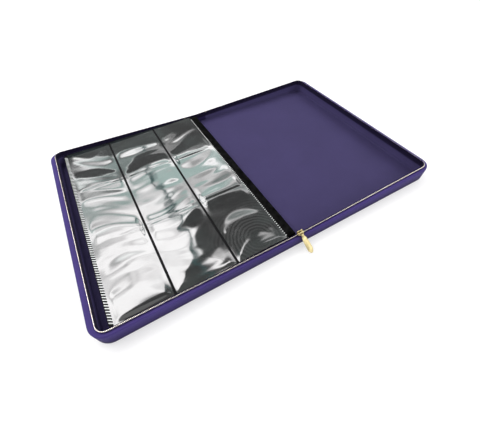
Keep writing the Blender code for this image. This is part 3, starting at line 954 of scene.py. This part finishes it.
def build_strip(number):
    """A leaf's hinge strip: up from the spine, over a soft bend and out to the bound edge."""
    node = f"leaf_{number}_hinge_strip"
    low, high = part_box(node)
    radius = min(0.003, 0.8 * (high.z - low.z))
    rise = high.z - radius
    line = [(high.x, low.z)]
    line += [(high.x, z) for z in steps_between(low.z, rise, 0.0012)[1:]]
    for step in range(1, 8):
        angle = math.radians(90 * step / 7)
        line.append((high.x - radius * (1 - math.cos(angle)), rise + radius * math.sin(angle)))
    line += [(x, high.z) for x in steps_between(low.x, high.x - radius, 0.0012)[::-1][1:]]
    section = line + offset_line(line, STRIP_THICKNESS)[::-1]
    rings = []
    for y in steps_between(low.y, high.y, 0.006):
        ripple = 0.00012 * math.sin(95 * y + number) + 0.00006 * math.sin(260 * y + 2 * number)
        rings.append([(x + ripple * (z - low.z) / 0.014, y, z + ripple) for x, z in section])
    shape = Shape()
    shape.tube(rings)
    strip = shape.finish(f"leaf_{number}_binding_strip", BINDING)
    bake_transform(strip)
    settle(strip, replaces=[node])


def offset_line(line, distance):
    """A line of (x, z) moved inwards by a distance, to give a sheet its thickness."""
    moved = []
    for i, (x, z) in enumerate(line):
        x0, z0 = line[max(i - 1, 0)]
        x1, z1 = line[min(i + 1, len(line) - 1)]
        length = math.hypot(x1 - x0, z1 - z0)
        moved.append((x - distance * (z1 - z0) / length, z + distance * (x1 - x0) / length))
    return moved


# ---------------------------------------- slider and tab

SLIDER_X = 0.0035
TILT = Matrix.Rotation(-math.atan(RIM_SLOPE), 4, "Y")  # along the rising rim
SLIDER_FRAME = Matrix.Translation((SLIDER_X, -ROW_Y, rim_top(SLIDER_X) + 0.0008)) @ TILT
PLATES = {"slider_outer_plate": (-0.0024, -0.0013), "slider_inner_plate": (0.0011, 0.0019)}
PLATE_LENGTH, PLATE_NARROW, PLATE_WIDE = 0.008, 0.0025, 0.0030  # length, half widths
FLANGES = {"outer": (-0.0014, -0.0009), "inner": (0.0009, 0.0012)}
FLANGE_RAIL = (  # x, nearest and farthest distance from the row
    (-0.0036, 0.0021, 0.0025), (-0.0008, 0.0021, 0.0025), (0.0016, 0.0025, 0.0029),
    (0.0034, 0.0025, 0.0029))
BRIDGE_SIDES = (-0.0014, 0.0012)
BRIDGE_WEDGE = ((0.0012, 0.00015), (0.0026, 0.0005), (0.0038, 0.0004))  # x, half thickness
CROWN_STEPS = 24
CROWN_REACH = 0.0023  # half the loop's length
CROWN_BASE, CROWN_HEIGHT = -0.0024, 0.0022


def plate_outline():
    """A slider plate seen square on: rounded, wider at the leading end."""
    narrow, wide = PLATE_NARROW, PLATE_WIDE
    points = []
    for share, half in ((-1.0, 0.55 * narrow), (-0.9, 0.85 * narrow), (-0.7, narrow),
                        (-0.1, narrow), (0.35, 0.5 * (narrow + wide)), (0.6, wide),
                        (0.85, 0.97 * wide), (0.97, 0.8 * wide), (1.0, 0.55 * wide)):
        points.append((share * PLATE_LENGTH / 2, half))
    return points + [(x, -z) for x, z in points[::-1]]


def bevelled(name, shape, width, segments, matrix, sharp_deg=35.0):
    """A gold piece with every sharp edge of its shape rounded."""
    mesh = bpy.data.meshes.new(name)
    mesh.from_pydata(shape.points, [], shape.faces)
    work = bmesh.new()
    work.from_mesh(mesh)
    bmesh.ops.recalc_face_normals(work, faces=work.faces)
    edges = [edge for edge in work.edges if edge.calc_face_angle(0.0) > math.radians(25)]
    bmesh.ops.bevel(work, geom=edges, offset=width, segments=segments, profile=0.5,
                    affect="EDGES", clamp_overlap=True)
    work.to_mesh(mesh)
    work.free()
    mesh.transform(matrix)
    return finish_mesh(name, mesh, GOLD, sharp_deg)


def build_slider():
    """Two rounded plates with flanged edges, joined by a wedge-shaped bridge."""
    made = []
    for name, (low, high) in PLATES.items():
        shape = Shape()
        shape.tube([[(x, y, z) for x, z in plate_outline()] for y in (low, high)])
        made.append(bevelled(name, shape, 0.0003, 3, SLIDER_FRAME))
    for name, sign in (("slider_upper_flange", 1), ("slider_lower_flange", -1)):
        for part, (low, high) in FLANGES.items():
            shape = Shape()
            shape.tube([[(x, low, sign * a), (x, high, sign * a), (x, high, sign * b),
                         (x, low, sign * b)] for x, a, b in FLANGE_RAIL])
            made.append(bevelled(f"{name}_{part}", shape, 0.0001, 1, SLIDER_FRAME))
    bridge = Shape()
    low, high = BRIDGE_SIDES
    bridge.tube([[(x, low, -half), (x, high, -half), (x, high, half), (x, low, half)]
                 for x, half in BRIDGE_WEDGE])
    made.append(bevelled("slider_bridge", bridge, 0.0001, 1, SLIDER_FRAME))
    for piece in made:
        settle(piece, "slider", ["zip_slider"] if piece is made[0] else [])


def build_crown():
    """The loop on the slider's outer plate that holds the tab."""
    line = []
    for step in range(CROWN_STEPS + 1):
        angle = math.radians(180 * step / CROWN_STEPS)
        rise = CROWN_HEIGHT * min(1.0, 1.35 * math.sin(angle))
        line.append(Vector((-CROWN_REACH * math.cos(angle), CROWN_BASE - rise, 0.0)))
    upward = Vector((0, 0, 1))
    rings = []
    for i, point in enumerate(line):
        ahead = (line[min(i + 1, CROWN_STEPS)] - line[max(i - 1, 0)]).normalized()
        out = ahead.cross(upward)
        rings.append([point + out * 0.0004 * math.cos(a) + upward * 0.0006 * math.sin(a)
                      for a in (math.radians(36 * k) for k in range(10))])
    crown = Shape()
    crown.tube(rings)
    loop = crown.finish("slider_crown_loop", GOLD, matrix=SLIDER_FRAME)
    settle(loop, "slider", ["slider_crown"])


TAB_PIVOT = Matrix.Translation(SLIDER_FRAME @ Vector((0.0, -0.0042, 0.0))) @ TILT
TAB_HANG = (Matrix.Rotation(math.radians(41.8), 4, "X") @ Matrix.Rotation(math.pi, 4, "Z")
            @ Matrix.Rotation(math.radians(8.0), 4, "Z"))
TAB_STATIONS = (  # distance from the pivot, half width, half thickness at ridge and edge
    (0.0011, 0.0014, 0.00070, 0.00050), (0.0020, 0.0020, 0.00085, 0.00045),
    (0.0034, 0.0027, 0.00095, 0.00040), (0.0055, 0.0031, 0.00105, 0.00034),
    (0.0088, 0.0034, 0.00110, 0.00030), (0.0145, 0.0037, 0.00115, 0.00028),
    (0.0190, 0.0038, 0.00115, 0.00028), (0.0214, 0.0036, 0.00100, 0.00028),
    (0.0240, 0.0023, 0.00070, 0.00028), (0.0255, 0.0011, 0.00040, 0.00026))
EYE_MAJOR, EYE_MINOR, EYE_HALF_WIDTH = 0.00115, 0.00038, 0.0013
EYE_TURNS, EYE_SIDES = 20, 10


def build_tab():
    """The pull tab: a ring round the crown and a faceted blade with a ridge."""
    blade = Shape()
    blade.tube([[(-half, y, -edge), (0.0, y, -ridge), (half, y, -edge),
                 (half, y, edge), (0.0, y, ridge), (-half, y, edge)]
                for y, half, ridge, edge in TAB_STATIONS])
    tab = bevelled("pull_tab_blade", blade, 0.00012, 2, TAB_PIVOT @ TAB_HANG, sharp_deg=20.0)
    rings = []
    for i in range(EYE_TURNS):
        a = 2 * math.pi * i / EYE_TURNS
        outward = Vector((0.0, math.cos(a), math.sin(a)))
        rings.append([outward * (EYE_MAJOR + EYE_MINOR * math.cos(b))
                      + Vector((1, 0, 0)) * EYE_HALF_WIDTH * math.sin(b)
                      for b in (2 * math.pi * k / EYE_SIDES for k in range(EYE_SIDES))])
    ring = Shape()
    rows = ring.tube(rings, caps=False)
    ring.join(rows[-1], rows[0], closed=True)
    eye = ring.finish("pull_tab_eye_ring", GOLD, matrix=TAB_PIVOT)
    settle(tab, "pull_tab", ["pull_tab"])
    settle(eye, "pull_tab")


# ---------------------------------------- stage

FLOOR_REACH = 6.0
FLOOR_LEVEL = -0.0002
CARD_LEVEL = 1.0
CARD_X, CARD_Y = (-1.00, 0.80), (0.05, 2.20)
SOFTBOXES = (  # name, centre, size, radiance, aim
    ("front_fill", (0.7, -1.45, 0.8), (1.2, 0.8), 2.2, (0, -0.15, 0)),
    ("side_fill", (1.6, -0.2, 1.3), (0.8, 1.2), 2.4, (0.1, 0, 0)),
    ("right_fill", (1.45, 0.6, 1.3), (1.0, 1.0), 2.0, (0.1, 0, 0)))
WORLD_STRENGTH = 0.72


def softbox(name, centre, size, radiance, aim):
    """A rectangular light of even brightness, facing a point."""
    data = bpy.data.lights.new(name, "AREA")
    data.shape = "RECTANGLE"
    data.size, data.size_y = size
    data.energy = radiance * math.pi * size[0] * size[1]
    light = bpy.data.objects.new(name, data)
    light.location = centre
    direction = Vector(aim) - Vector(centre)
    light.rotation_euler = direction.to_track_quat("-Z", "Y").to_euler()
    light.visible_camera = False
    bpy.context.scene.collection.objects.link(light)


def level_sheet(name, xs, ys, z, material):
    """A flat rectangle on the stage."""
    shape = Shape()
    (left, right), (front, back) = xs, ys
    shape.faces.append(shape.add([(left, front, z), (left, back, z), (right, back, z),
                                  (right, front, z)]))
    sheet = shape.finish(name, material)
    return sheet


def build_stage():
    """The floor, an even white surround, the reflected card and three soft lights."""
    reach = (-FLOOR_REACH, FLOOR_REACH)
    level_sheet("floor", reach, reach, FLOOR_LEVEL, floor_finish())
    world = bpy.data.worlds.new("studio")
    world.use_nodes = True
    background = world.node_tree.nodes["Background"]
    background.inputs["Color"].default_value = (1.0, 1.0, 1.0, 1.0)
    background.inputs["Strength"].default_value = WORLD_STRENGTH
    bpy.context.scene.world = world
    diffuser = level_sheet("diffuser_card", CARD_X, CARD_Y, CARD_LEVEL, reflection_card("diffuser"))
    diffuser.visible_camera = False
    for light in SOFTBOXES:
        softbox(*light)
    bpy.context.scene.view_settings.view_transform = "Standard"


CAMERA_PLACE = (-0.1513, -0.2766, 0.2897)
CAMERA_RIGHT = Vector((0.86612, -0.49980, -0.00578))
CAMERA_UP = Vector((0.39380, 0.67521, 0.62371))


def build_camera():
    """A wide lens close to the album's near left corner, looking down over it."""
    data = bpy.data.cameras.new("camera")
    data.lens = 20.37
    data.sensor_width = 36.0
    camera = bpy.data.objects.new("camera", data)
    basis = Matrix((CAMERA_RIGHT, CAMERA_UP, CAMERA_RIGHT.cross(CAMERA_UP))).transposed()
    camera.matrix_world = Matrix.Translation(CAMERA_PLACE) @ basis.to_4x4()
    bpy.context.scene.collection.objects.link(camera)
    bpy.context.scene.camera = camera


# ---------------------------------------- the album

CAD_FINISHES = {"board": BOARD, "backing": BACKING, "stop": CAD_GOLD}


def build_album():
    """Every piece that is made here."""
    for cover, side in COVERS:
        build_shell(cover, side)
        build_lining(cover, side)
        build_zip(cover, side)
    for end, end_sign in (("near", -1), ("far", 1)):
        for half, side in (("front", -1), ("back", 1)):
            build_gusset(end, end_sign, half, side)
            build_tail(end, end_sign, half, side)
    build_binding()
    for number in range(1, LEAVES + 1):
        build_films(number)
        build_welds(number)
        build_strip(number)
    build_slider()
    build_crown()
    build_tab()


def finish_cad_nodes():
    """Gives the CAD nodes that stay in view their material, by the end of their name."""
    for name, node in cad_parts.items():
        for ending, material in CAD_FINISHES.items():
            if name.endswith(ending):
                node.data.materials.clear()
                node.data.materials.append(material)


build_album()
finish_cad_nodes()
build_stage()
build_camera()
